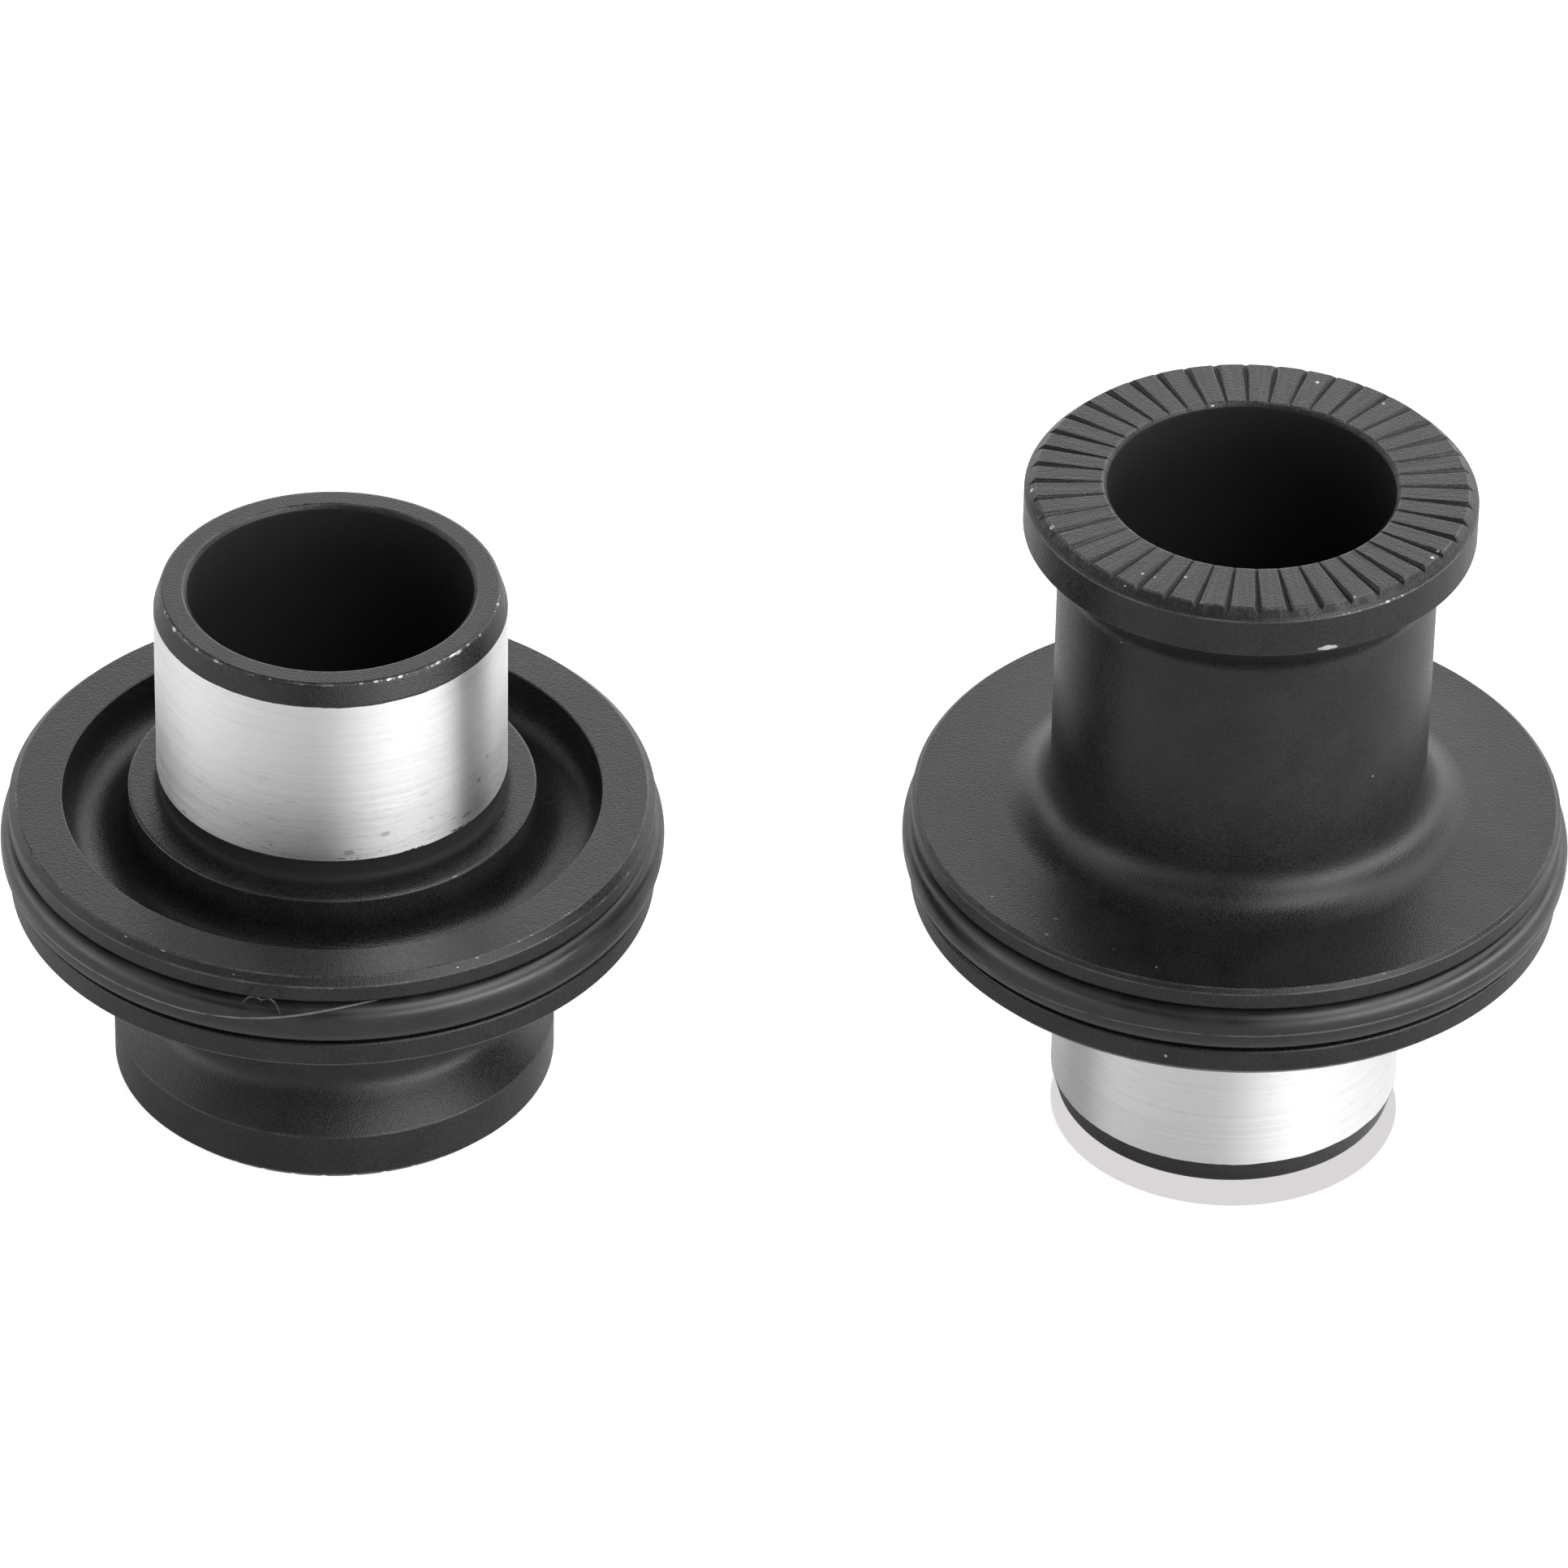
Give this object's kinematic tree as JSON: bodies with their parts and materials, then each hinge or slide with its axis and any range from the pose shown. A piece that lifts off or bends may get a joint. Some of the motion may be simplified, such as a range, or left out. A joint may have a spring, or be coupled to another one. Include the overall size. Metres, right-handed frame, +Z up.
{
  "type": "thru-axle hub end caps",
  "caption": "Turned hub end caps for a thru axle: hollow spigot with a bearing seat, flange with a rubber sealing ring in its rim, straight neck and serrated clamping face.",
  "frame": {"origin": "on the floor, midway between the axes of the two caps as they stand", "axes": "+Z up along both caps' axes; +X from the short cap to the long cap; +Y away from the viewer. The short cap stands on its serrated face with its spigot up, the long cap on its spigot end with its serrated face up."},
  "size_m": [0.0671, 0.0294, 0.0312],
  "materials": {
    "black_anodised_aluminium": "satin black anodised, with the bearing seat turned bright after anodising",
    "black_rubber": "smooth moulded rubber with a slight sheen"
  },
  "bodies": {
    "short_cap": {"short_end_cap": "black_anodised_aluminium", "short_cap_o_ring": "black_rubber"},
    "long_cap": {"long_end_cap": "black_anodised_aluminium", "long_cap_o_ring": "black_rubber"}
  },
  "joints": [
    {"name": "long_cap_lift", "type": "slide", "parent": "short_cap", "child": "long_cap", "axis": [0, 0, 1], "range_m": [0, 0.04]}
  ]
}
